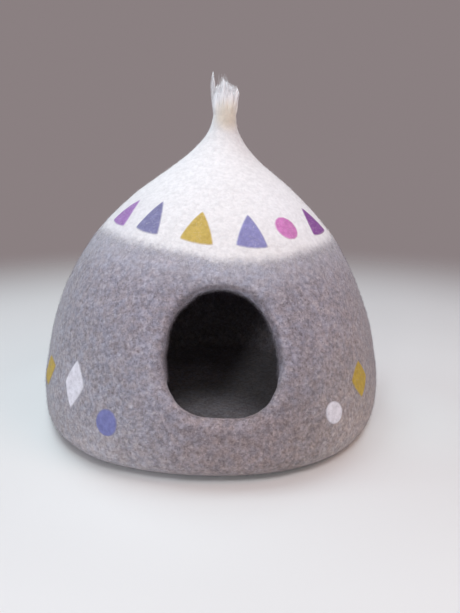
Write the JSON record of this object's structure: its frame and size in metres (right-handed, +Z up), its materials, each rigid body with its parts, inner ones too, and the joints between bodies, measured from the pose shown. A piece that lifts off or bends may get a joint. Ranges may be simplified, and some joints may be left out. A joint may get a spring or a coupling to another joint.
{
  "type": "felt cat cave",
  "caption": "Free-standing domed cave of thick wool felt for a cat, with a round entrance, a white cap drawn up into a neck and wool tuft, and felted motifs.",
  "frame": {"origin": "on the floor under the middle of the cave's base", "axes": "+Z up, the entrance faces -Y, +X to the right of someone who looks into the entrance"},
  "size_m": [0.5148, 0.5147, 0.4957],
  "materials": {
    "grey_felt": "heather grey wool felt, matt and slightly hairy, with a white felt cap above the shoulder",
    "white_wool": "loose undyed white wool",
    "white_felt": "white wool felt",
    "light_purple_felt": "light purple wool felt",
    "grey_blue_felt": "grey-blue wool felt",
    "yellow_felt": "mustard yellow wool felt",
    "violet_felt": "violet-blue wool felt",
    "pink_felt": "pink wool felt",
    "dark_purple_felt": "dark purple wool felt"
  },
  "bodies": {
    "root": {"felt_shell": "grey_felt", "tuft": "white_wool", "cap_triangle_01": "light_purple_felt", "cap_triangle_02": "grey_blue_felt", "cap_triangle_03": "yellow_felt", "cap_triangle_04": "violet_felt", "cap_circle_05": "pink_felt", "cap_triangle_06": "dark_purple_felt", "cap_triangle_07": "yellow_felt", "cap_triangle_08": "grey_blue_felt", "cap_circle_09": "pink_felt", "cap_triangle_10": "light_purple_felt", "cap_triangle_11": "violet_felt", "cap_triangle_12": "yellow_felt", "cap_circle_13": "pink_felt", "cap_triangle_14": "dark_purple_felt", "cap_triangle_15": "grey_blue_felt", "lower_diamond_01": "yellow_felt", "lower_diamond_02": "white_felt", "lower_circle_03": "violet_felt", "lower_circle_04": "white_felt", "lower_diamond_05": "yellow_felt", "lower_circle_06": "violet_felt", "lower_diamond_07": "white_felt", "lower_circle_08": "pink_felt", "lower_diamond_09": "yellow_felt", "lower_circle_10": "white_felt", "lower_diamond_11": "violet_felt", "lower_circle_12": "yellow_felt", "lower_diamond_13": "white_felt", "lower_circle_14": "violet_felt"}
  },
  "joints": []
}
